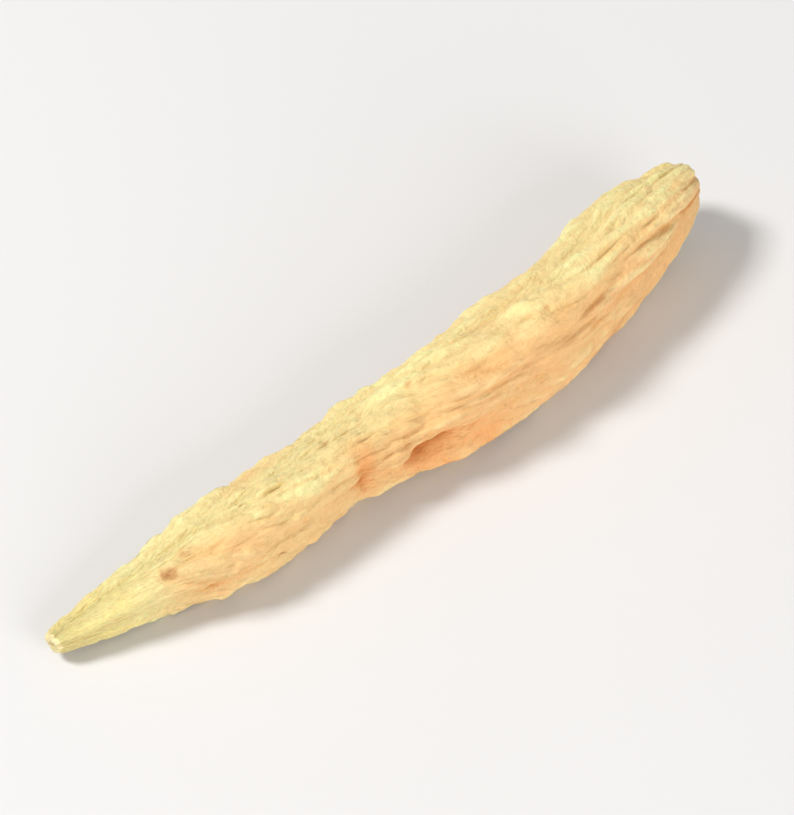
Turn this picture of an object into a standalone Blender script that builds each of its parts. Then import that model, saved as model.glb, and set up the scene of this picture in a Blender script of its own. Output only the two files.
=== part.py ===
"""A dried pseudostellaria root, lying on a flat surface the way it comes to rest.

It grew and dried as one piece, so it is one solid: a slender spindle, thickest towards its
crown, bowed to one side and tapering to a thin tail. Lengthwise furrows run the whole way,
two pinched hollows dent one flank, a cupped scar at the crown shows where the stem came
off, and the tail ends in a short break. +X runs from the tail to the crown and +Z is up.
"""

import math

import bmesh
import bpy
import numpy as np
from mathutils import Vector, noise

MM = 0.001

# Driving dimensions. Every length in this file is in millimetres until the mesh is made.
LENGTH = 48.0
BELLY_RADIUS = 3.35
RINGS = 76
SIDES = 72
RING_CROWDING = 0.5
CURVE_SAMPLES = 4000

# The outline of half a lengthwise section, from the middle of the broken tail tip to the
# middle of the stem scar: (share of the length from the tail, share of the belly's radius).
OUTLINE = [
    (0.004, 0.00),
    (0.001, 0.12),
    (0.006, 0.19),
    (0.030, 0.27),
    (0.075, 0.38),
    (0.140, 0.54),
    (0.205, 0.71),
    (0.265, 0.79),
    (0.325, 0.79),
    (0.395, 0.74),
    (0.465, 0.79),
    (0.540, 0.87),
    (0.615, 0.93),
    (0.680, 0.97),
    (0.750, 0.92),
    (0.820, 0.92),
    (0.885, 0.85),
    (0.930, 0.74),
    (0.962, 0.63),
    (0.982, 0.54),
    (0.996, 0.44),
    (0.999, 0.33),
    (0.990, 0.20),
    (0.984, 0.00),
]

# The run of the root's axis: (share of the length, sideways offset, height over the surface).
AXIS = [
    (0.00, 0.0, 1.25),
    (0.12, -0.8, 1.75),
    (0.27, -1.6, 2.50),
    (0.42, -1.5, 2.60),
    (0.55, -1.9, 2.90),
    (0.68, -2.05, 3.15),
    (0.82, -0.95, 3.25),
    (0.93, 0.1, 3.40),
    (1.00, 0.8, 3.55),
]

# Furrows, broad ones first: (how many go round, length of one, depth, pattern number).
FURROWS = [
    (5, 15.0, 0.40, 3.7),
    (12, 8.0, 0.40, 11.2),
    (21, 4.8, 0.30, 23.6),
]
CELL = 0.175
CREASE = 0.07
RIDGE_TOP = 0.45
DRIFT_TURNS = 0.36
WANDER = 0.22
WANDER_LENGTH = 7.0
SMOOTH_TAIL = 0.45
FURROWED_FROM = 0.6
FULL_FURROW_RADIUS = 2.2

# The section is out of round, with flattened faces between blunt edges: (edges round it, depth,
# where the first edge is in degrees, turns of the edges along the whole root).
EDGES = [
    (2, 0.14, 20, 0.20),
    (3, 0.27, 55, 0.03),
]

# Hollows, and swellings where the depth is negative: (distance from the tail, angle round the
# axis in degrees, half length, half width, depth, degrees that it turns in each millimetre of
# length). Angle 0 faces -Y and 90 faces up.
HOLLOWS = [
    (24.0, 10, 1.60, 0.62, 0.80, 0),
    (23.2, 10, 0.60, 0.60, 0.30, 0),
    (19.5, 20, 0.50, 1.25, 0.46, 0),
    (21.6, 8, 1.05, 1.00, -0.32, 0),
    (25.0, -20, 2.80, 0.90, -0.32, 0),
    (24.4, 38, 1.80, 0.60, -0.18, 0),
    (7.6, 39, 1.20, 0.40, 0.20, -21),
    (29.0, 54, 2.80, 0.45, 0.22, -9),
    (38.0, 37, 3.40, 0.45, 0.26, -7),
    (34.5, 196, 2.60, 0.80, 0.42, 0),
    (14.5, 158, 2.00, 0.60, 0.26, 5),
    (38.5, -38, 3.00, 0.80, 0.34, 0),
    (18.8, 214, 1.50, 0.70, -0.20, 0),
    (31.0, 118, 3.80, 0.70, 0.16, 4),
]

# The skin under the belly dried flat against the tray: a patch with no furrows.
PRESSED_AT = 30.0
PRESSED_HALF_LENGTH = 8.0
PRESSED_HALF_ANGLE = math.radians(40)
DOWN = math.radians(-90)

SKIN_COLOUR = (0.86, 0.66, 0.38, 1.0)
SKIN_ROUGHNESS = 0.62


def clear_scene():
    for obj in list(bpy.data.objects):
        bpy.data.objects.remove(obj)


def spline(points, samples):
    """Points evenly numbered along one smooth curve through the given points."""
    knots = np.array(points, float)
    chords = np.sqrt(np.linalg.norm(np.diff(knots, axis=0), axis=1))
    place = np.concatenate([[0.0], np.cumsum(chords)])
    slopes = np.gradient(knots, place, axis=0)
    at = np.linspace(0.0, place[-1], samples)
    span = np.clip(np.searchsorted(place, at, side="right") - 1, 0, len(chords) - 1)
    width = chords[span][:, None]
    u = ((at - place[span]) / chords[span])[:, None]
    start, end = knots[span], knots[span + 1]
    leave, arrive = slopes[span] * width, slopes[span + 1] * width
    return (
        start * (2 * u**3 - 3 * u**2 + 1)
        + leave * (u**3 - 2 * u**2 + u)
        + end * (3 * u**2 - 2 * u**3)
        + arrive * (u**3 - u**2)
    )


def outline_rings():
    """(distance from the tail, radius) of each ring. They stand closer where the root is thin."""
    shares = spline(OUTLINE, CURVE_SAMPLES)
    along = shares[:, 0] * LENGTH
    radius = shares[:, 1].clip(0) * BELLY_RADIUS
    steps = np.hypot(np.diff(along), np.diff(radius))
    middle = (radius[1:] + radius[:-1]) / 2
    walked = np.concatenate([[0.0], np.cumsum(steps / (RING_CROWDING + middle))])
    at = np.linspace(0.0, walked[-1], RINGS)
    return np.interp(at, walked, along), np.interp(at, walked, radius)


def axis_at(along):
    """Places on the axis at these distances from the tail."""
    run = spline(AXIS, CURVE_SAMPLES)
    share = along / LENGTH
    side = np.interp(share, run[:, 0], run[:, 1])
    height = np.interp(share, run[:, 0], run[:, 2])
    return np.stack([along, side, height], axis=1)


def furrow(along, angle, count, length, pattern):
    """0 in the creases and up to about 1 on the rounded ridges between them."""
    spread = CELL * count
    place = Vector((
        spread * math.cos(angle),
        spread * math.sin(angle),
        along / length + pattern,
    ))
    return min(1.0, math.hypot(noise.noise(place), CREASE) / RIDGE_TOP)


def bell(distance, width):
    return math.exp(-((distance / width) ** 2))


def turn_between(a, b):
    """The smallest angle from b to a."""
    return (a - b + math.pi) % math.tau - math.pi


def pressed(along, angle):
    """1 in the middle of the patch that dried against the tray, and 0 away from it."""
    return bell(along - PRESSED_AT, PRESSED_HALF_LENGTH) * bell(
        turn_between(angle, DOWN), PRESSED_HALF_ANGLE
    )


def relief(along, angle, radius):
    """How far the skin stands out from the plain spindle, in millimetres."""
    share = along / LENGTH
    room = min(1.0, radius / FULL_FURROW_RADIUS)
    out = sum(
        depth * math.cos(edges * (angle - math.radians(first) - turns * share * math.tau))
        for edges, depth, first, turns in EDGES
    )
    drifted = angle + DRIFT_TURNS * math.tau * share
    drifted += WANDER * noise.noise(
        Vector((math.cos(angle), math.sin(angle), along / WANDER_LENGTH))
    )
    strength = SMOOTH_TAIL + (1 - SMOOTH_TAIL) * min(1.0, share / FURROWED_FROM)
    for count, length, depth, pattern in FURROWS:
        ridge = furrow(along, drifted, count, length, pattern)
        out += depth * strength * (ridge - 0.5)
    out *= 1 - pressed(along, angle)
    for at, degrees, half_length, half_width, depth, twist in HOLLOWS:
        facing = math.radians(degrees + twist * (along - at))
        across = turn_between(angle, facing) * radius
        out -= depth * bell(along - at, half_length) * bell(across, half_width)
    return out * room


def skin_point(centre, along, angle, radius):
    reach = radius + relief(along, angle, radius)
    return Vector((
        centre[0],
        centre[1] - reach * math.cos(angle),
        max(0.0, centre[2] + reach * math.sin(angle)),
    ))


def build_root():
    mesh = bmesh.new()
    along, radii = outline_rings()
    centres = axis_at(along)
    angles = [math.tau * side / SIDES for side in range(SIDES)]
    tail = mesh.verts.new(centres[0])
    crown = mesh.verts.new(centres[-1])
    rings = [
        [mesh.verts.new(skin_point(c, a, angle, r)) for angle in angles]
        for c, a, r in zip(centres[1:-1], along[1:-1], radii[1:-1])
    ]
    for ring, following in zip(rings, rings[1:]):
        for side in range(SIDES):
            beside = (side + 1) % SIDES
            mesh.faces.new((ring[side], ring[beside], following[beside], following[side]))
    for side in range(SIDES):
        beside = (side + 1) % SIDES
        mesh.faces.new((tail, rings[0][beside], rings[0][side]))
        mesh.faces.new((crown, rings[-1][side], rings[-1][beside]))
    bmesh.ops.scale(mesh, vec=Vector((MM, MM, MM)), verts=mesh.verts)
    bmesh.ops.triangulate(mesh, faces=mesh.faces, quad_method="SHORT_EDGE")
    bmesh.ops.recalc_face_normals(mesh, faces=mesh.faces)
    return mesh


def centre_on_origin(mesh):
    """Puts the origin under the middle of the bounding box, on the surface it rests on."""
    places = np.array([v.co for v in mesh.verts])
    low, high = places.min(axis=0), places.max(axis=0)
    middle = (low + high) / 2
    bmesh.ops.translate(mesh, vec=Vector((-middle[0], -middle[1], -low[2])), verts=mesh.verts)


def skin_material():
    material = bpy.data.materials.new("dried root skin")
    material.use_nodes = True
    shader = material.node_tree.nodes["Principled BSDF"]
    shader.inputs["Base Color"].default_value = SKIN_COLOUR
    shader.inputs["Roughness"].default_value = SKIN_ROUGHNESS
    shader.inputs["Metallic"].default_value = 0.0
    return material


def main():
    clear_scene()
    solid = build_root()
    centre_on_origin(solid)
    mesh = bpy.data.meshes.new("root")
    solid.to_mesh(mesh)
    solid.free()
    mesh.shade_smooth()
    mesh.materials.append(skin_material())
    root = bpy.data.objects.new("root", mesh)
    bpy.context.scene.collection.objects.link(root)


main()
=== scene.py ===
import math

import bpy
import numpy as np
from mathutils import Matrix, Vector, noise


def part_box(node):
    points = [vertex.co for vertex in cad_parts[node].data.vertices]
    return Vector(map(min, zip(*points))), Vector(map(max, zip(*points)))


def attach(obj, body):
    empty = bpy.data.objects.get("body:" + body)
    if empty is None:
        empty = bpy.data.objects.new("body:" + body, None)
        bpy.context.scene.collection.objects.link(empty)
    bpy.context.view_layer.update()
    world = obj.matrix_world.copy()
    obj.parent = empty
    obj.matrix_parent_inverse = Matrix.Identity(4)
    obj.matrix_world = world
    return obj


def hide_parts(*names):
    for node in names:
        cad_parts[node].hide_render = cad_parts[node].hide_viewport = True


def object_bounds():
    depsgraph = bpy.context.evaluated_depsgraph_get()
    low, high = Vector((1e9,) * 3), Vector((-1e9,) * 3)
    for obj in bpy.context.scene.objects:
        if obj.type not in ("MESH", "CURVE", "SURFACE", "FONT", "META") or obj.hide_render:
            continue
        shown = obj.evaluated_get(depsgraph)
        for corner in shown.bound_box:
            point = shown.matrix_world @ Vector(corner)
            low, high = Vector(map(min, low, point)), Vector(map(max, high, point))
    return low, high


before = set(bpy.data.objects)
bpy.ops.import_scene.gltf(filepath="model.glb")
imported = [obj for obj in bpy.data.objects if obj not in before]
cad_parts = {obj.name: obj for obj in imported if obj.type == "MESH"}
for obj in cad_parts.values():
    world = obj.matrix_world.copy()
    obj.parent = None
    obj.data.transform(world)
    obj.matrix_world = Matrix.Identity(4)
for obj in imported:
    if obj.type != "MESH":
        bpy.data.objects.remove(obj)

cad_low, cad_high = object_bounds()


# The root: one dried, starchy spindle, grown in one piece. Its skin shrank on to the flesh as it
# dried, which drew it into lengthwise furrows, pinched hollows and the pits of lost rootlets. The
# tail end broke off short, and the stem came away from the crown and left a cupped scar.

# Lengths on the root are in millimetres, until its skin is fitted to the box of its solid.
LENGTH = 48.0
BELLY_RADIUS = 3.35
RINGS = 408
SIDES = 240
RING_CROWDING = 0.5
CURVE_SAMPLES = 4000

# Half a lengthwise section, from the tail's break to the stem scar: (share of the length, share
# of the belly's radius).
OUTLINE = [
    (0.004, 0.00),
    (0.001, 0.12),
    (0.006, 0.19),
    (0.030, 0.27),
    (0.075, 0.38),
    (0.140, 0.54),
    (0.205, 0.71),
    (0.265, 0.79),
    (0.325, 0.79),
    (0.395, 0.74),
    (0.465, 0.79),
    (0.540, 0.87),
    (0.615, 0.93),
    (0.680, 0.97),
    (0.750, 0.92),
    (0.820, 0.92),
    (0.885, 0.85),
    (0.930, 0.74),
    (0.962, 0.63),
    (0.982, 0.54),
    (0.996, 0.44),
    (0.999, 0.33),
    (0.990, 0.20),
    (0.984, 0.00),
]

# The run of the axis: (share of the length, sideways offset, height over the surface).
AXIS = [
    (0.00, 0.0, 1.25),
    (0.12, -0.8, 1.75),
    (0.27, -1.6, 2.50),
    (0.42, -1.5, 2.60),
    (0.55, -1.9, 2.90),
    (0.68, -2.05, 3.15),
    (0.82, -0.95, 3.25),
    (0.93, 0.1, 3.40),
    (1.00, 0.8, 3.55),
]

# Furrows, and the fine wrinkles between them: (how many go round, length of one, depth, pattern
# number).
FURROWS = [
    (5, 15.0, 0.40, 3.7),
    (12, 8.0, 0.40, 11.2),
    (21, 4.8, 0.30, 23.6),
]
WRINKLES = [
    (38, 2.8, 0.170, 31.4),
    (68, 1.7, 0.095, 47.9),
]

# The section of one furrow: how wide it is, how sharp its crease is and where its ridge flattens.
CELL = 0.175
CREASE = 0.07
RIDGE_TOP = 0.45

# Furrows turn round the root and wander on their way. They have a share of their depth at the
# tail, and are full from a share of the length and from a radius on.
DRIFT_TURNS = 0.36
WANDER = 0.22
WANDER_LENGTH = 7.0
SMOOTH_TAIL = 0.45
FURROWED_FROM = 0.6
FULL_FURROW_RADIUS = 2.2

# A crease darkens with brown and painted shade between these shares of its depth, and a fine
# wrinkle does so less.
CREASE_SHADE_DEPTHS = (0.30, 0.85)
WRINKLE_CREASE_SHADE = 0.6

# Wrinkles come and go in patches: how close these stand round the root, their length, their
# pattern number, and the noise at which wrinkles start and are full.
WRINKLED_ROUND = 0.9
WRINKLED_LENGTH = 6.0
WRINKLED_PATTERN = 8.8
WRINKLED_NOISE = (-0.70, 0.30)

# All fine relief is weaker at the crown than at the tail, and weakest on the crown's rim. The
# change and the rim are given in shares of the length.
FINE_AT_TAIL = 1.45
FINE_AT_CROWN = 0.90
FINE_CHANGE = (0.40, 0.75)
RIM_CALM = 0.65
RIM = (0.94, 0.985)

# Papery puckers, a little longer than wide: (how many in a millimetre, depth).
PUCKERS = [
    (1.3, 0.120),
    (2.9, 0.060),
]
PUCKER_STRETCH = 1.5

# Blunt edges with flattened faces between them: (edges round it, depth, where the first edge
# is in degrees, turns of the edges along the whole root).
EDGES = [
    (2, 0.14, 20, 0.20),
    (3, 0.27, 55, 0.03),
]

# The strip under the belly that dried flat against what it lay on.
PRESSED_AT = 30.0
PRESSED_HALF_LENGTH = 8.0
PRESSED_HALF_ANGLE = math.radians(40)
DOWN = math.radians(-90)

# Hollows, and swellings where the depth is negative: (distance from the tail, angle round the
# axis in degrees, half length, half width, depth, degrees that it turns in each millimetre of
# length). Angle 0 faces -Y and 90 faces up.
HOLLOWS = [
    (24.0, 10, 1.60, 0.62, 0.80, 0),
    (23.2, 10, 0.60, 0.60, 0.30, 0),
    (19.5, 20, 0.50, 1.25, 0.46, 0),
    (21.6, 8, 1.05, 1.00, -0.32, 0),
    (25.0, -20, 2.80, 0.90, -0.32, 0),
    (24.4, 38, 1.80, 0.60, -0.18, 0),
    (7.6, 39, 1.20, 0.40, 0.20, -21),
    (29.0, 54, 2.80, 0.45, 0.22, -9),
    (38.0, 37, 3.40, 0.45, 0.26, -7),
    (34.5, 196, 2.60, 0.80, 0.42, 0),
    (14.5, 158, 2.00, 0.60, 0.26, 5),
    (38.5, -38, 3.00, 0.80, 0.34, 0),
    (18.8, 214, 1.50, 0.70, -0.20, 0),
    (31.0, 118, 3.80, 0.70, 0.16, 4),
]

# A hollow's dark core, painted shade, lies a little towards the tail and down from its middle, by
# these shares of its half length and half width. The orange flush round it, partly the skin's own
# orange and partly painted warm shade, is longer and wider, and lies lower.
CORE_TAILWARDS = 0.15
CORE_DOWN = 0.3
ORANGE_SHADE_LONGER = 1.3
ORANGE_SHADE_WIDER = 1.7
ORANGE_SHADE_DOWN_MM = 0.3

# Pits where rootlets came away: (distance from the tail, degrees round, radius, depth, how
# brown it is).
ROOTLET_PITS = [
    (6.8, 61, 0.34, 0.12, 0.8),
    (8.2, 78, 0.40, 0.08, 0.4),
    (18.6, 98, 0.22, 0.07, 0.4),
    (24.4, 95, 0.20, 0.06, 0.4),
    (33.4, 74, 0.22, 0.08, 0.4),
    (13.1, -14, 0.24, 0.09, 0.8),
    (15.9, 201, 0.28, 0.12, 1.0),
    (24.4, 172, 0.24, 0.09, 0.8),
    (31.2, 236, 0.30, 0.13, 1.0),
    (40.1, 190, 0.24, 0.09, 0.8),
]
PIT_DRAWN_OUT = 1.5
PIT_RAGGED = 0.3
PIT_RAGS_PER_MM = 4.0
PIT_RIM = 0.35
PIT_RIM_RADII = 1.5
PIT_RIM_WIDTH_RADII = 0.5

# Crumbly flesh at the tail's break and in the stem scar: (share of the relief, how many crumbs
# in a millimetre). The break gives way to skin between two distances from the tail. The scar and
# its cup are counted in rings from the crown's rim.
CRUMBS = [
    (0.65, 3.2),
    (0.35, 8.32),
]
CRUMB_DEPTH = 0.07
CRUMBS_LENGTHWISE = 2.0
BREAK = (0.15, 0.42)
BREAK_RAGGED = 0.35
SCAR_FROM = -3
SCAR_FULLY = 6
SCAR_RAGGED = 5
CUP_RINGS = 8
SCAR_PLEATS = 0.25

# The stub of the stem's core stands in the middle of the scar, which is pale close to it.
STEM_CORE_RADIUS = 0.42
STEM_CORE_HEIGHT = 0.34
STEM_CORE_TOP = 0.7 * STEM_CORE_RADIUS
STEM_CORE_FOOT = 1.3 * STEM_CORE_RADIUS
SCAR_PALE_WITHIN = 0.6 * STEM_CORE_RADIUS
SCAR_BROWN_BEYOND = 1.6 * STEM_CORE_RADIUS


def spline(points, samples):
    """Points evenly numbered along one smooth curve through the given points."""
    knots = np.array(points, float)
    chords = np.sqrt(np.linalg.norm(np.diff(knots, axis=0), axis=1))
    place = np.concatenate([[0.0], np.cumsum(chords)])
    slopes = np.gradient(knots, place, axis=0)
    at = np.linspace(0.0, place[-1], samples)
    span = np.clip(np.searchsorted(place, at, side="right") - 1, 0, len(chords) - 1)
    width = chords[span][:, None]
    u = ((at - place[span]) / chords[span])[:, None]
    start, end = knots[span], knots[span + 1]
    leave, arrive = slopes[span] * width, slopes[span + 1] * width
    return (
        start * (2 * u**3 - 3 * u**2 + 1)
        + leave * (u**3 - 2 * u**2 + u)
        + end * (3 * u**2 - 2 * u**3)
        + arrive * (u**3 - u**2)
    )


def outline_rings():
    """(distance from the tail, radius) of each ring. They stand closer where the root is thin."""
    shares = spline(OUTLINE, CURVE_SAMPLES)
    along = shares[:, 0] * LENGTH
    radius = shares[:, 1].clip(0) * BELLY_RADIUS
    steps = np.hypot(np.diff(along), np.diff(radius))
    middle = (radius[1:] + radius[:-1]) / 2
    walked = np.concatenate([[0.0], np.cumsum(steps / (RING_CROWDING + middle))])
    at = np.linspace(0.0, walked[-1], RINGS)
    return np.interp(at, walked, along), np.interp(at, walked, radius)


def bell(distance, width):
    return np.exp(-((distance / width) ** 2))


def ease(value, low, high):
    """0 up to low, 1 from high on, and an even S between them."""
    share = np.clip((value - low) / (high - low), 0.0, 1.0)
    return share * share * (3 - 2 * share)


def turn_between(a, b):
    """The smallest angle from b to a."""
    return (a - b + math.pi) % math.tau - math.pi


rings_along, rings_radius = outline_rings()
axis_run = spline(AXIS, CURVE_SAMPLES)
ring_share = rings_along / LENGTH
ring_side = np.interp(ring_share, axis_run[:, 0], axis_run[:, 1])
ring_height = np.interp(ring_share, axis_run[:, 0], axis_run[:, 2])

# One row for each ring but the two end points, and one column for each side.
ROWS = RINGS - 2
along = rings_along[1:-1, None] * np.ones(SIDES)
radius = rings_radius[1:-1, None] * np.ones(SIDES)
angle = np.ones((ROWS, 1)) * (math.tau * np.arange(SIDES) / SIDES)
share = along / LENGTH


def noise_at(x, y, z):
    """Smooth noise, from about -1 to 1, at each of these places."""
    x, y, z = np.broadcast_arrays(x, y, z)
    places = zip(x.ravel().tolist(), y.ravel().tolist(), z.ravel().tolist())
    return np.array([noise.noise(place) for place in places]).reshape(x.shape)


def skin_noise(per_mm, stretch=1.0):
    """Noise all over the skin, with so many cells in a millimetre, drawn out lengthwise."""
    return noise_at(
        along * per_mm / stretch,
        radius * np.cos(angle) * per_mm,
        radius * np.sin(angle) * per_mm,
    )


def across_from(degrees):
    """The distance over the skin, round the root, from a line at this angle."""
    return turn_between(angle, np.radians(degrees)) * radius


# Furrows first, and the darker colour in their creases: partly the skin's own brown, partly
# painted shade.
drifted = angle + DRIFT_TURNS * math.tau * share
drifted = drifted + WANDER * noise_at(np.cos(angle), np.sin(angle), along / WANDER_LENGTH)
furrowed = SMOOTH_TAIL + (1 - SMOOTH_TAIL) * np.minimum(1.0, share / FURROWED_FROM)


def furrow(count, length, pattern):
    """0 in the creases and up to about 1 on the rounded ridges between them."""
    spread = CELL * count
    depth = noise_at(spread * np.cos(drifted), spread * np.sin(drifted), along / length + pattern)
    return np.minimum(1.0, np.hypot(depth, CREASE) / RIDGE_TOP)


out = np.zeros_like(angle)
crease_brown_and_shade = np.zeros_like(angle)
for edges, depth, first, turns in EDGES:
    out = out + depth * np.cos(edges * (angle - math.radians(first) - turns * share * math.tau))
for count, length, depth, pattern in FURROWS:
    ridge = furrow(count, length, pattern)
    out = out + depth * furrowed * (ridge - 0.5)
    crease_brown_and_shade = np.maximum(crease_brown_and_shade, furrowed * ease(1 - ridge, *CREASE_SHADE_DEPTHS))

# Fine wrinkles and puckers, which leave the pressed strip free as the furrows do.
wrinkled = noise_at(
    WRINKLED_ROUND * np.cos(angle),
    WRINKLED_ROUND * np.sin(angle),
    along / WRINKLED_LENGTH + WRINKLED_PATTERN,
)
wrinkled = ease(wrinkled, *WRINKLED_NOISE)
fine = FINE_AT_TAIL + (FINE_AT_CROWN - FINE_AT_TAIL) * ease(share, *FINE_CHANGE)
fine = fine * (1 - RIM_CALM * ease(share, *RIM))
for count, length, depth, pattern in WRINKLES:
    ridge = furrow(count, length, pattern)
    out = out + depth * fine * wrinkled * (ridge - 0.5)
    wrinkle_crease_shade = WRINKLE_CREASE_SHADE * furrowed * wrinkled * ease(1 - ridge, *CREASE_SHADE_DEPTHS)
    crease_brown_and_shade = np.maximum(crease_brown_and_shade, wrinkle_crease_shade)
for per_mm, depth in PUCKERS:
    out = out + depth * fine * skin_noise(per_mm, PUCKER_STRETCH)
pressed = bell(along - PRESSED_AT, PRESSED_HALF_LENGTH)
pressed = pressed * bell(turn_between(angle, DOWN), PRESSED_HALF_ANGLE)
out = out * (1 - pressed)
crease_brown_and_shade = crease_brown_and_shade * (1 - pressed)

# Hollows and pits, and how much of the hollows' painted shade, their orange flush (partly painted
# warm shade) and the pits' brown each point takes from them.
hollow_shade = np.zeros_like(out)
orange_and_warm_shade = np.zeros_like(out)
for at, degrees, half_length, half_width, depth, twist in HOLLOWS:
    across = across_from(degrees + twist * (along - at))
    dent = depth * bell(along - at, half_length) * bell(across, half_width)
    out = out - dent
    core = bell(along - at + CORE_TAILWARDS * half_length, half_length)
    core = core * bell(across + CORE_DOWN * half_width, half_width)
    hollow_shade = hollow_shade + max(0.0, depth) * core
    around = bell(along - at, ORANGE_SHADE_LONGER * half_length)
    around = around * bell(across + ORANGE_SHADE_DOWN_MM, ORANGE_SHADE_WIDER * half_width)
    orange_and_warm_shade = orange_and_warm_shade + max(0.0, depth) * around
pit = np.zeros_like(out)
ragged = 1 + PIT_RAGGED * skin_noise(PIT_RAGS_PER_MM)
for at, degrees, pit_radius, depth, brown in ROOTLET_PITS:
    distance = np.hypot((along - at) / PIT_DRAWN_OUT, across_from(degrees)) * ragged
    from_rim = distance - PIT_RIM_RADII * pit_radius
    rim = PIT_RIM * bell(from_rim, PIT_RIM_WIDTH_RADII * pit_radius)
    out = out - depth * (bell(distance, pit_radius) - rim)
    pit = np.maximum(pit, brown * bell(distance, pit_radius))

# Where the flesh shows: the tail's break and the stem scar inside the crown's rim.
crown_rim = int(np.argmax(rings_along)) - 1
ring_number = np.arange(ROWS)[:, None] * np.ones(SIDES)
crumbs = np.zeros_like(out)
for crumb_share, per_mm in CRUMBS:
    crumbs = crumbs + crumb_share * skin_noise(per_mm)
tail_break = 1 - ease(along + BREAK_RAGGED * crumbs, *BREAK)
ragged_rings = ring_number + SCAR_RAGGED * crumbs
stem_scar = ease(ragged_rings, crown_rim + SCAR_FROM, crown_rim + SCAR_FULLY)
broken = np.maximum(tail_break, stem_scar)
cupped = ease(ring_number, crown_rim - CUP_RINGS, crown_rim + CUP_RINGS)
crumbled = CRUMB_DEPTH * crumbs * broken

# The skin's points. Relief has less room where the root is thin, and in the scar's cup.
room = np.minimum(1.0, radius / FULL_FURROW_RADIUS)
reach = radius + (out * room * (1 - (1 - SCAR_PLEATS) * cupped) + crumbled)
stem_core = STEM_CORE_HEIGHT * (1 - ease(radius, STEM_CORE_TOP, STEM_CORE_FOOT)) * stem_scar
root_x = along + CRUMBS_LENGTHWISE * crumbled + stem_core
root_y = ring_side[1:-1, None] - reach * np.cos(angle)
root_z = np.maximum(0.0, ring_height[1:-1, None] + reach * np.sin(angle))
places = np.stack([root_x, root_y, root_z], axis=-1).reshape(-1, 3)
tail_point = [rings_along[0], ring_side[0], ring_height[0]]
crown_point = [rings_along[-1], ring_side[-1], ring_height[-1]]
places = np.concatenate([places, [tail_point, crown_point]])

# The finer skin fills the same box as the solid that it stands for.
solid_low, solid_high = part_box("root")
solid_low, solid_high = np.array(solid_low), np.array(solid_high)
skin_low, skin_high = places.min(axis=0), places.max(axis=0)
places = solid_low + (places - skin_low) / (skin_high - skin_low) * (solid_high - solid_low)

TAIL_POINT = ROWS * SIDES
CROWN_POINT = TAIL_POINT + 1
number = np.arange(TAIL_POINT).reshape(ROWS, SIDES)
beside = np.roll(number, -1, axis=1)
quads = np.stack([number[:-1], number[1:], beside[1:], beside[:-1]], axis=-1).reshape(-1, 4)
tail_fan = [(TAIL_POINT, int(a), int(b)) for a, b in zip(number[0], beside[0])]
crown_fan = [(CROWN_POINT, int(b), int(a)) for a, b in zip(number[-1], beside[-1])]

root_mesh = bpy.data.meshes.new("dried_root")
root_mesh.from_pydata(places.tolist(), [], quads.tolist() + tail_fan + crown_fan)
root_mesh.shade_smooth()

# The skin laid out flat, lengthwise by ring and crosswise by side.
row_step, column_step = 1.0 / (RINGS - 1), 1.0 / SIDES
row = (np.arange(ROWS - 1)[:, None] + 1) * row_step * np.ones(SIDES)
column = np.arange(SIDES) * column_step * np.ones((ROWS - 1, 1))
corners = [(0, 0), (1, 0), (1, 1), (0, 1)]
quad_map = np.stack(
    [np.stack([row + r * row_step, column + c * column_step], axis=-1) for r, c in corners],
    axis=-2,
)
left = np.arange(SIDES) * column_step
right = left + column_step
middle = left + column_step / 2
first, last = np.full(SIDES, row_step), np.full(SIDES, 1 - row_step)
tail_map = np.stack([[0 * left, middle], [first, left], [first, right]]).transpose(2, 0, 1)
crown_map = np.stack([[0 * left + 1, middle], [last, right], [last, left]]).transpose(2, 0, 1)
flat = np.concatenate([quad_map.reshape(-1), tail_map.reshape(-1), crown_map.reshape(-1)])
root_mesh.uv_layers.new(name="OFBake").data.foreach_set("uv", flat)

# Sides painted apart: the upper side paler, partly its own colour and partly painted light, and
# the lower flank tan, partly its own colour and partly painted shade: (degrees round, and the
# cosines of the turn from there at which the colour starts and is full).
PALE_LIT_SIDE = (125, 0.2, 0.9)
TAN_SHADE_SIDE = (-10, 0.15, 0.95)
FLANK = (25, -0.1, 0.9)
TAN_ON_SIDE = 0.65
TAN_ON_FLANK = 0.35
TAN_AT_TAIL = 0.70
TAN_PATCHY = 0.30
TAN_FADES_ON_PALE = 0.3
CREASE_SHADE_FADES_ON_PALE = 0.5

# Stretches over which a colour comes or goes, in distances from the tail.
FLANK_TANS = (22.0, 29.0)
TAIL_TANS = (5.0, 8.0)
TAIL_PALE = (5.5, 8.5)
TAIL_LEMON = (3.6, 6.0)
LEMON_PATCHY = 1.5

# Cloudy patches: how many in a millimetre of length, how close they stand round the root and
# their pattern number.
PATCHES_PER_MM = 0.16
PATCHES_ROUND = 1.3
PATCHES_PATTERN = 5.1

# Patches that browned, and orange patches on the lip and the folds beside the hollows, partly
# the skin's own orange and partly painted warm shade: (distance from the tail, degrees round,
# half length, half width, strength).
BROWNED_PATCHES = [
    (9.9, 46, 2.6, 1.8, 0.75),
    (28.0, 57, 2.8, 1.3, 0.60),
]
ORANGE_SHADE_PATCHES = [
    (25.1, -18, 2.4, 1.1, 0.75),
    (28.1, -31, 1.8, 0.9, 0.60),
    (19.8, 32, 0.9, 1.2, 0.50),
]
# How strongly the orange round the hollows shows, partly its own colour and partly painted warm
# shade.
ORANGE_SHADE_STRENGTH = 1.4
# The hollows' painted shade starts and is full at these amounts of hollowing.
HOLLOW_SHADE_DEPTHS = (0.08, 0.70)
GRAIN_RADIUS = 3.0


def facing(degrees, low, high):
    """1 where the skin faces this way, and 0 where it faces away."""
    return ease(np.cos(angle - math.radians(degrees)), low, high)


def spot(at, degrees, half_length, half_width):
    """1 in the middle of a patch of skin, and fading out round it."""
    return bell(along - at, half_length) * bell(across_from(degrees), half_width)


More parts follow.
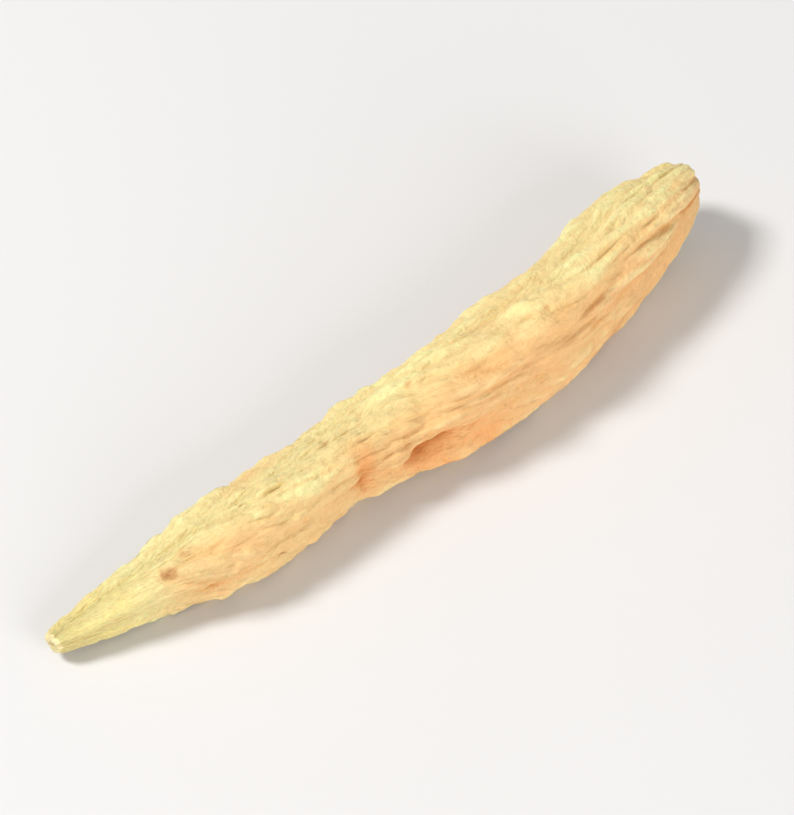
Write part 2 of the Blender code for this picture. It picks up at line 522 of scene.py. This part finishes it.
patches = noise_at(
    along * PATCHES_PER_MM + PATCHES_PATTERN,
    PATCHES_ROUND * np.cos(angle),
    PATCHES_ROUND * np.sin(angle),
)
# Paler where the skin faces up towards the main lamp, partly its own colour and partly painted
# light, and pale at the tail.
pale_and_lit = np.maximum(facing(*PALE_LIT_SIDE), 1 - ease(along, *TAIL_PALE))
browned = np.zeros_like(out)
for *patch, strength in BROWNED_PATCHES:
    browned = browned + strength * spot(*patch)
# The orange patches add to the orange and painted warm shade round the hollows.
for *patch, strength in ORANGE_SHADE_PATCHES:
    orange_and_warm_shade = orange_and_warm_shade + strength * spot(*patch)
# Tan on the lower flank that faces away from the main lamp, partly its own colour and partly
# painted shade, and weaker where the skin is paler.
tan_and_shade = TAN_ON_SIDE * facing(*TAN_SHADE_SIDE)
tan_and_shade = tan_and_shade + TAN_ON_FLANK * ease(along, *FLANK_TANS) * facing(*FLANK)
tan_and_shade = (tan_and_shade + browned) * (TAN_AT_TAIL + (1 - TAN_AT_TAIL) * ease(along, *TAIL_TANS))
tan_and_shade = tan_and_shade + TAN_PATCHY * patches - TAN_FADES_ON_PALE * pale_and_lit
# The creases' painted shade is weaker on the pale, lit upper side.
crease_brown_and_shade = crease_brown_and_shade * (1 - CREASE_SHADE_FADES_ON_PALE * pale_and_lit)
lemon = 1 - ease(along - LEMON_PATCHY * patches, *TAIL_LEMON)
scarred = stem_scar * ease(radius, SCAR_PALE_WITHIN, SCAR_BROWN_BEYOND)

# What the materials read at each point of the skin: (name, values, at the tail's end point, at
# the crown's end point).
for name, values, at_tail, at_crown in [
    ("creases_brown_and_shaded", np.clip(crease_brown_and_shade, 0, 1), 0.0, 0.0),
    ("hollow_shaded", ease(hollow_shade, *HOLLOW_SHADE_DEPTHS), 0.0, 0.0),
    ("orange_warm_shaded", np.clip(ORANGE_SHADE_STRENGTH * orange_and_warm_shade, 0, 1), 0.0, 0.0),
    ("pitted", pit, 0.0, 0.0),
    ("tan_and_shaded", np.clip(tan_and_shade, 0.0, 1.0), 0.0, 1.0),
    ("browned", browned, 0.0, 0.0),
    ("pale_and_lit", pale_and_lit, 0.0, 0.0),
    ("lemon", lemon, 1.0, 0.0),
    ("scarred", scarred, 0.0, 0.0),
]:
    layer = root_mesh.attributes.new(name, "FLOAT", "POINT")
    layer.data.foreach_set("value", np.append(values.ravel(), [at_tail, at_crown]))

# The grain: a place on the straightened root, in millimetres, with its length along x.
grain = np.stack([along, GRAIN_RADIUS * np.cos(angle), GRAIN_RADIUS * np.sin(angle)], axis=-1)
ends = [[0.0, 0.0, 0.0], [LENGTH, 0.0, 0.0]]
grain_layer = root_mesh.attributes.new("grain", "FLOAT_VECTOR", "POINT")
grain_layer.data.foreach_set("vector", np.concatenate([grain.reshape(-1, 3), ends]).ravel())


def feed(tree, socket, value):
    """Wires value into the socket where it is an output, and otherwise sets it there."""
    if isinstance(value, bpy.types.NodeSocket):
        tree.links.new(value, socket)
    else:
        socket.default_value = value


def add_node(tree, kind, inputs, **settings):
    """A new node with these settings, and its inputs fed by name."""
    made = tree.nodes.new(kind)
    for name, value in settings.items():
        setattr(made, name, value)
    for name, value in inputs.items():
        feed(tree, made.inputs[name], value)
    return made


def calculate(tree, operation, first, second):
    """One sum on two numbers, kept between 0 and 1."""
    made = tree.nodes.new("ShaderNodeMath")
    made.operation = operation
    made.use_clamp = True
    feed(tree, made.inputs[0], first)
    feed(tree, made.inputs[1], second)
    return made.outputs[0]


def spread_out(tree, value, low, high):
    """Stretches value so that low becomes 0 and high becomes 1."""
    inputs = {"Value": value, "From Min": low, "From Max": high}
    return add_node(tree, "ShaderNodeMapRange", inputs).outputs["Result"]


def attribute(tree, name, output="Fac"):
    return add_node(tree, "ShaderNodeAttribute", {}, attribute_name=name).outputs[output]


def overlay(tree, mask, under, over, strength=1.0):
    """The colour over lies on the colour under where the mask is 1, this strongly."""
    if strength < 1.0:
        mask = calculate(tree, "MULTIPLY", mask, strength)
    made = tree.nodes.new("ShaderNodeMix")
    made.data_type = "RGBA"
    feed(tree, made.inputs[0], mask)
    feed(tree, made.inputs[6], under)
    feed(tree, made.inputs[7], over)
    return made.outputs[2]


def patterned(tree, name, base, patterns):
    """A mask of the skin, full where the patterns are and held to the base elsewhere."""
    shown = base
    for pattern in patterns:
        shown = calculate(tree, "ADD", pattern, shown)
    return calculate(tree, "MULTIPLY", attribute(tree, name), shown)


# Dry tissue, as the skin and the broken flesh both show it: fibres that run lengthwise, cloudy
# patches, small specks and a mealy grain.
tissue = bpy.data.node_groups.new("dry tissue", "ShaderNodeTree")
for name, kind in [
    ("Place", "NodeSocketVector"),
    ("Fibre Stretch", "NodeSocketFloat"),
    ("Fibres per mm", "NodeSocketFloat"),
    ("Specks per mm", "NodeSocketFloat"),
    ("Speck Size", "NodeSocketFloat"),
    ("Grains per mm", "NodeSocketFloat"),
]:
    tissue.interface.new_socket(name, in_out="INPUT", socket_type=kind)
for name in ["Fibres", "Clouds", "Specks", "Meal", "Relief"]:
    tissue.interface.new_socket(name, in_out="OUTPUT", socket_type="NodeSocketFloat")
given = tissue.nodes.new("NodeGroupInput").outputs
result = tissue.nodes.new("NodeGroupOutput").inputs


def tissue_noise(place, scale, detail, roughness):
    """Layered noise in the tissue, around a half."""
    inputs = {"Vector": place, "Scale": scale, "Detail": detail, "Roughness": roughness}
    return add_node(tissue, "ShaderNodeTexNoise", inputs).outputs["Fac"]


stretched = {"X": given["Fibre Stretch"], "Y": 1.0, "Z": 1.0}
stretch = add_node(tissue, "ShaderNodeCombineXYZ", stretched)
shrunk = tissue.nodes.new("ShaderNodeVectorMath")
shrunk.operation = "DIVIDE"
feed(tissue, shrunk.inputs[0], given["Place"])
feed(tissue, shrunk.inputs[1], stretch.outputs[0])
fibres = tissue_noise(shrunk.outputs[0], given["Fibres per mm"], detail=4.0, roughness=0.62)
feed(tissue, result["Fibres"], spread_out(tissue, fibres, low=0.32, high=0.70))
clouds = tissue_noise(given["Place"], scale=0.60, detail=5.0, roughness=0.72)
feed(tissue, result["Clouds"], spread_out(tissue, clouds, low=0.38, high=0.64))

# A speck fades out from the middle of its cell, and only some cells keep theirs.
scattered = {"Vector": given["Place"], "Scale": given["Specks per mm"]}
specks = add_node(tissue, "ShaderNodeTexVoronoi", scattered)
away = calculate(tissue, "DIVIDE", specks.outputs["Distance"], given["Speck Size"])
chance = add_node(tissue, "ShaderNodeSeparateColor", {"Color": specks.outputs["Color"]})
kept = spread_out(tissue, chance.outputs["Red"], low=0.55, high=0.95)
speck = calculate(tissue, "MULTIPLY", calculate(tissue, "SUBTRACT", 1.0, away), kept)
feed(tissue, result["Specks"], speck)

# The grain, and the relief that fibres and grain make together.
FIBRE_RELIEF = 0.6
meal = tissue_noise(given["Place"], given["Grains per mm"], detail=5.0, roughness=0.62)
feed(tissue, result["Meal"], spread_out(tissue, meal, low=0.35, high=0.68))
fibre_relief = calculate(tissue, "MULTIPLY", fibres, FIBRE_RELIEF)
meal_relief = calculate(tissue, "MULTIPLY", meal, 1 - FIBRE_RELIEF)
feed(tissue, result["Relief"], calculate(tissue, "ADD", fibre_relief, meal_relief))


def tissue_in(tree, stretch, fibres, specks, speck_size, grains):
    """The dry tissue placed in a material, with that material's own values."""
    placed = tree.nodes.new("ShaderNodeGroup")
    placed.node_tree = tissue
    feed(tree, placed.inputs["Place"], attribute(tree, "grain", "Vector"))
    feed(tree, placed.inputs["Fibre Stretch"], stretch)
    feed(tree, placed.inputs["Fibres per mm"], fibres)
    feed(tree, placed.inputs["Specks per mm"], specks)
    feed(tree, placed.inputs["Speck Size"], speck_size)
    feed(tree, placed.inputs["Grains per mm"], grains)
    return placed.outputs


def raise_relief(tree, shader, height, strength, distance):
    """Lets the height show on the surface. The distance is in metres."""
    inputs = {"Height": height, "Strength": strength, "Distance": distance}
    bump = add_node(tree, "ShaderNodeBump", inputs)
    feed(tree, shader.inputs["Normal"], bump.outputs["Normal"])


# Skin: pale straw yellow, lemon at the tail, paler on the upper side with painted light and tan
# on the lower flank with painted shade, with browned patches, brown and painted shade in the
# creases, orange in the folds and hollows that is partly painted warm shade, painted shade in the
# hollows' dark cores, and brown in the rootlet pits.
CREAM = (0.870, 0.865, 0.410, 1.0)
STRAW = (0.830, 0.720, 0.310, 1.0)
# Paler colour for the upper side, partly its own and partly painted light, and for the tail.
PALE_AND_LIT = (0.925, 0.915, 0.450, 1.0)
LEMON = (0.945, 0.845, 0.300, 1.0)
# Tan, partly the skin's own colour and partly painted shade on the lower flank.
TAN_SHADE = (0.920, 0.622, 0.320, 1.0)
FIBRE = (0.700, 0.500, 0.220, 1.0)
HONEY = (0.770, 0.510, 0.200, 1.0)
# Brown in the creases, partly the skin's own and partly painted shade.
CREASE_BROWN_AND_SHADE = (0.800, 0.445, 0.175, 1.0)
# Orange round the hollows, partly the skin's own and partly painted warm shade.
ORANGE_WARM_SHADE = (0.850, 0.405, 0.145, 1.0)
# Painted shade in the hollows' dark cores.
HOLLOW_SHADE = (0.560, 0.195, 0.040, 1.0)
SPECK = (0.480, 0.260, 0.110, 1.0)
STAIN = (0.760, 0.470, 0.190, 1.0)
PIT = (0.430, 0.200, 0.070, 1.0)
skin = bpy.data.materials.new("dried root skin")
skin.use_nodes = True
tree = skin.node_tree
shader = tree.nodes["Principled BSDF"]
cells = tissue_in(tree, stretch=5.0, fibres=3.0, specks=1.1, speck_size=0.16, grains=2.8)
colour = overlay(tree, cells["Clouds"], CREAM, STRAW)
# The upper side paler: partly its own colour, partly painted light.
colour = overlay(tree, attribute(tree, "pale_and_lit"), colour, PALE_AND_LIT, strength=0.62)
yellowed = patterned(tree, "lemon", base=0.2, patterns=[cells["Fibres"]])
colour = overlay(tree, yellowed, colour, LEMON, strength=0.85)
streaks = calculate(tree, "MULTIPLY", cells["Fibres"], 0.62)
mottles = calculate(tree, "MULTIPLY", cells["Clouds"], 0.62)
# The lower flank tan: partly its own colour, partly painted shade.
tan_and_shaded = patterned(tree, "tan_and_shaded", base=0.22, patterns=[streaks, mottles])
colour = overlay(tree, tan_and_shaded, colour, TAN_SHADE)
colour = overlay(tree, cells["Meal"], colour, FIBRE, strength=0.50)
colour = overlay(tree, attribute(tree, "browned"), colour, HONEY, strength=0.60)
# The creases: brown and painted shade.
colour = overlay(tree, attribute(tree, "creases_brown_and_shaded"), colour, CREASE_BROWN_AND_SHADE, strength=0.80)
# Orange round the hollows: partly the skin's own, partly painted warm shade.
blotches = calculate(tree, "MULTIPLY", cells["Clouds"], 0.5)
orange_warm_shaded = patterned(tree, "orange_warm_shaded", base=0.55, patterns=[blotches])
colour = overlay(tree, orange_warm_shaded, colour, ORANGE_WARM_SHADE)
# The hollows' dark cores: painted shade.
colour = overlay(tree, attribute(tree, "hollow_shaded"), colour, HOLLOW_SHADE)
colour = overlay(tree, cells["Specks"], colour, SPECK, strength=0.5)
stained = patterned(tree, "pitted", base=0.5, patterns=[cells["Meal"]])
colour = overlay(tree, spread_out(tree, stained, low=0.05, high=0.45), colour, STAIN)
colour = overlay(tree, spread_out(tree, stained, low=0.20, high=0.80), colour, PIT)
feed(tree, shader.inputs["Base Color"], colour)
fibre_roughness = {"Value": cells["Fibres"], "To Min": 0.78, "To Max": 0.60}
rough = add_node(tree, "ShaderNodeMapRange", fibre_roughness)
feed(tree, shader.inputs["Roughness"], rough.outputs["Result"])
raise_relief(tree, shader, cells["Relief"], strength=1.0, distance=0.00040)
shader.inputs["IOR"].default_value = 1.4
shader.inputs["Subsurface Weight"].default_value = 0.08
shader.inputs["Subsurface Scale"].default_value = 0.0004
root_mesh.materials.append(skin)

# Flesh, bared where the root broke: chalky and pale, browned in the stem scar.
CHALK = (0.870, 0.800, 0.460, 1.0)
HORN = (0.800, 0.620, 0.300, 1.0)
SCAR_BROWN = (0.480, 0.270, 0.110, 1.0)
flesh = bpy.data.materials.new("broken root flesh")
flesh.use_nodes = True
tree = flesh.node_tree
shader = tree.nodes["Principled BSDF"]
cells = tissue_in(tree, stretch=1.5, fibres=3.0, specks=2.4, speck_size=0.2, grains=12.0)
colour = overlay(tree, cells["Clouds"], CHALK, HORN)
colour = overlay(tree, attribute(tree, "scarred"), colour, SCAR_BROWN, strength=0.75)
colour = overlay(tree, cells["Specks"], colour, SCAR_BROWN, strength=0.6)
feed(tree, shader.inputs["Base Color"], colour)
raise_relief(tree, shader, cells["Relief"], strength=0.8, distance=0.0001)
shader.inputs["Roughness"].default_value = 0.9
shader.inputs["IOR"].default_value = 1.4
root_mesh.materials.append(flesh)

# The second material goes on the faces that are more broken than not, and on both end fans.
bare = (broken[:-1] + broken[1:]) / 2 > 0.5
finish_of_face = np.concatenate([bare.ravel(), np.ones(2 * SIDES, bool)]).astype(np.int32)
root_mesh.polygons.foreach_set("material_index", finish_of_face)
root_mesh.update()
root = bpy.data.objects.new("dried_root", root_mesh)
bpy.context.scene.collection.objects.link(root)
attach(root, "root")
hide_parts("root")


# The floor: a plain pale sheet of paper that the root lies loose on. It is far wider than what
# the camera sees, so no edge of it shows.
FLOOR_SIZE = 3.0
FLOOR_COLOUR = (0.70, 0.69, 0.685, 1.0)
half = FLOOR_SIZE / 2
floor_corners = [(-half, -half, 0), (half, -half, 0), (half, half, 0), (-half, half, 0)]
floor_mesh = bpy.data.meshes.new("floor")
floor_mesh.from_pydata(floor_corners, [], [(0, 1, 2, 3)])
paper = bpy.data.materials.new("pale paper")
paper.use_nodes = True
paper_shader = paper.node_tree.nodes["Principled BSDF"]
paper_shader.inputs["Base Color"].default_value = FLOOR_COLOUR
paper_shader.inputs["Roughness"].default_value = 0.8
floor_mesh.materials.append(paper)
floor = bpy.data.objects.new("floor", floor_mesh)
bpy.context.scene.collection.objects.link(floor)


# The light: a broad soft lamp high on the left, which models the furrows, and a weaker one on
# the right. A pale sky fills the shadows.
SKY_COLOUR = (1.0, 0.985, 0.965, 1.0)
SKY_STRENGTH = 0.44
root_middle = (cad_low + cad_high) / 2


def soft_lamp(name, offset, size, power):
    """A square lamp at this offset from the root, facing it."""
    lamp = bpy.data.lights.new(name, "AREA")
    lamp.size = size
    lamp.energy = power
    placed = bpy.data.objects.new(name, lamp)
    placed.location = root_middle + Vector(offset)
    placed.rotation_euler = (-Vector(offset)).to_track_quat("-Z", "Y").to_euler()
    bpy.context.scene.collection.objects.link(placed)


soft_lamp("main_lamp", offset=(-0.24, 0.20, 0.40), size=0.13, power=2.18)
soft_lamp("side_lamp", offset=(-0.02, -0.44, 0.15), size=0.34, power=1.55)
sky = bpy.data.worlds.new("pale sky")
sky.use_nodes = True
sky.node_tree.nodes["Background"].inputs["Color"].default_value = SKY_COLOUR
sky.node_tree.nodes["Background"].inputs["Strength"].default_value = SKY_STRENGTH
bpy.context.scene.world = sky
bpy.context.scene.view_settings.view_transform = "Standard"


# The camera: a long lens, looking down at the root from the tail's side. It stands close enough
# for the root to fill the frame.
CAMERA_AZIMUTH = math.radians(-41)
CAMERA_ELEVATION = math.radians(50)
CAMERA_DISTANCE = 0.25
CAMERA_LENS = 198.0
CAMERA_CLIP = 0.01
lens = bpy.data.cameras.new("camera")
lens.lens = CAMERA_LENS
lens.clip_start = CAMERA_CLIP
camera = bpy.data.objects.new("camera", lens)
towards_camera = Vector((
    math.sin(CAMERA_AZIMUTH) * math.cos(CAMERA_ELEVATION),
    -math.cos(CAMERA_AZIMUTH) * math.cos(CAMERA_ELEVATION),
    math.sin(CAMERA_ELEVATION),
))
camera.location = root_middle + towards_camera * CAMERA_DISTANCE
camera.rotation_euler = (-towards_camera).to_track_quat("-Z", "Y").to_euler()
bpy.context.scene.collection.objects.link(camera)
bpy.context.scene.camera = camera
